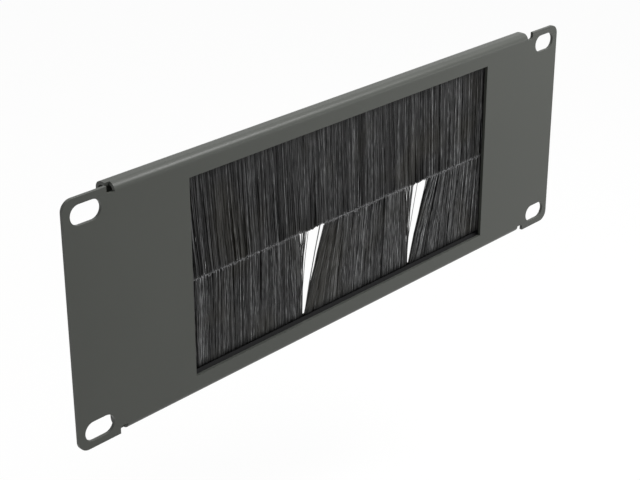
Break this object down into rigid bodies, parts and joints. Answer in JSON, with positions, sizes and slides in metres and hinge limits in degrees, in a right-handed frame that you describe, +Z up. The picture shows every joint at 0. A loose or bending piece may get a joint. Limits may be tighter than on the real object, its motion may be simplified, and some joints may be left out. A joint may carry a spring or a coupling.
{
  "type": "rack brush strip panel",
  "caption": "Folded steel rack panel with slotted ears and a wide rectangular window closed by facing rows of black bristles that let cables through.",
  "frame": {"origin": "centre of the four rack slots, on the panel's front face", "axes": "+X to the right as seen from the front, +Y back through the panel into the rack, +Z up"},
  "size_m": [0.254, 0.0071, 0.0882],
  "materials": {
    "panel_coat": "fine textured black powder coat",
    "bracket_coat": "fine textured black powder coat",
    "channel_coat": "black enamel over crimped steel strip",
    "core_wire": "drawn steel wire",
    "bristle": "black nylon filament",
    "zinc_plate": "bright zinc plating",
    "stud_copper": "copper flashed weld stud"
  },
  "bodies": {
    "root": {"front_panel": "panel_coat", "upper_channel": "channel_coat", "lower_channel": "channel_coat", "upper_core_wire": "core_wire", "lower_core_wire": "core_wire", "upper_bristles": "bristle", "lower_bristles": "bristle", "left_bracket": "bracket_coat", "right_bracket": "bracket_coat", "weld_stud_1": "stud_copper", "weld_stud_2": "stud_copper", "weld_stud_3": "stud_copper", "weld_stud_4": "stud_copper", "washer_1": "zinc_plate", "washer_2": "zinc_plate", "washer_3": "zinc_plate", "washer_4": "zinc_plate", "hex_nut_1": "zinc_plate", "hex_nut_2": "zinc_plate", "hex_nut_3": "zinc_plate", "hex_nut_4": "zinc_plate"}
  },
  "joints": []
}
